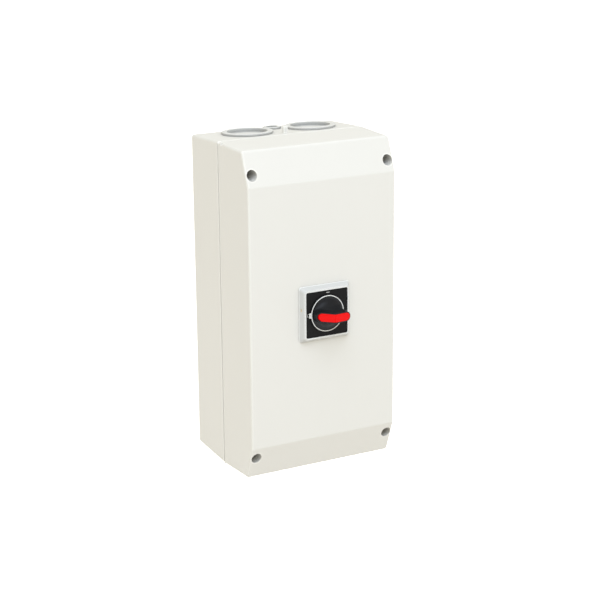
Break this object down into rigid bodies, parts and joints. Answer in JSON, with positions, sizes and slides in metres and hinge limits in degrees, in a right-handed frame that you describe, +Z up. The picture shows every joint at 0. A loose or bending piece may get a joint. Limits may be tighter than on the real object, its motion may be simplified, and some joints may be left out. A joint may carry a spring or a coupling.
{
  "type": "enclosed rotary isolator switch",
  "caption": "Tall wall-mounted plastic enclosure with a slanted-end cover and a square rotary handle that turns the switch inside.",
  "frame": {"origin": "centre of the enclosure's flat back face, which rests on the wall", "axes": "+Z up, +Y back into the wall, +X to the right seen from the front"},
  "size_m": [0.193, 0.1819, 0.4027],
  "materials": {
    "enclosure_plastic": "fine satin moulded, off-white",
    "plug_plastic": "satin moulded, light grey",
    "handle_white": "satin moulded, white",
    "handle_black": "fine matt, black",
    "knob_black": "soft satin, black",
    "slide_red": "satin, signal red",
    "seal_rubber": "soft foam rubber, grey",
    "plated_steel": "zinc plated",
    "screw_steel": "zinc plated, turned",
    "brass": "plain brass",
    "copper": "plain copper",
    "switch_plastic": "glass-filled, dark grey",
    "mechanism_plastic": "glass-filled, black",
    "rotor_plastic": "plain moulded, natural"
  },
  "bodies": {
    "base": {"base_housing": "enclosure_plastic", "cover_gasket": "seal_rubber", "top_entry_plug_left": "plug_plastic", "top_entry_plug_right": "plug_plastic", "top_entry_plug_small": "plug_plastic", "bottom_entry_plug_left": "plug_plastic", "bottom_entry_plug_right": "plug_plastic", "bottom_entry_plug_small": "plug_plastic", "mounting_plate": "plated_steel", "plate_screw_top_left": "screw_steel", "plate_screw_top_right": "screw_steel", "plate_screw_bottom_left": "screw_steel", "plate_screw_bottom_right": "screw_steel", "earth_bar": "brass", "earth_screw_left": "screw_steel", "earth_screw_right": "screw_steel", "switch_foot": "switch_plastic", "contact_deck_1": "switch_plastic", "contact_deck_2": "switch_plastic", "contact_deck_3": "switch_plastic", "line_contact_1": "copper", "load_contact_1": "copper", "line_contact_2": "copper", "load_contact_2": "copper", "line_contact_3": "copper", "load_contact_3": "copper", "line_screw_1": "screw_steel", "load_screw_1": "screw_steel", "line_screw_2": "screw_steel", "load_screw_2": "screw_steel", "line_screw_3": "screw_steel", "load_screw_3": "screw_steel", "mechanism_housing": "mechanism_plastic", "snap_spring": "screw_steel", "stack_bolt_left": "screw_steel", "stack_bolt_right": "screw_steel"},
    "front_cover": {"cover": "enclosure_plastic", "cover_top_end": "enclosure_plastic", "cover_bottom_end": "enclosure_plastic", "cover_screw_top_left": "screw_steel", "cover_screw_top_right": "screw_steel", "cover_screw_bottom_left": "screw_steel", "cover_screw_bottom_right": "screw_steel", "handle_plate": "handle_white", "handle_gasket": "seal_rubber", "handle_inlay": "handle_black", "handle_screw_left": "screw_steel", "handle_screw_right": "screw_steel", "defeat_screw": "brass", "stem_oring": "seal_rubber"},
    "handle": {"knob": "knob_black", "pointer_ring": "handle_white", "knob_stem": "knob_black", "stem_clip": "plated_steel"},
    "lock": {"padlock_slide": "slide_red"},
    "contact_rotor": {"rotor": "rotor_plastic", "moving_contact_1": "copper", "moving_contact_2": "copper", "moving_contact_3": "copper", "drive_shaft": "plated_steel"}
  },
  "joints": [
    {"name": "cover_off", "type": "slide", "parent": "base", "child": "front_cover", "axis": [0, -1, 0], "range_m": [0, 0.08]},
    {"name": "handle_turn", "type": "hinge", "parent": "front_cover", "child": "handle", "pos_m": [0, -0.156, -0.001], "axis": [0, 1, 0], "range_deg": [0, 90]},
    {"name": "padlock_slide_out", "type": "slide", "parent": "handle", "child": "lock", "axis": [0, -1, 0], "range_m": [0, 0.011]},
    {"name": "rotor_turn", "type": "hinge", "parent": "base", "child": "contact_rotor", "pos_m": [0, -0.06, -0.001], "axis": [0, 1, 0], "range_deg": [0, 90]}
  ],
  "couplings": [
    {"joint": "rotor_turn", "follows": "handle_turn", "ratio": 1}
  ]
}
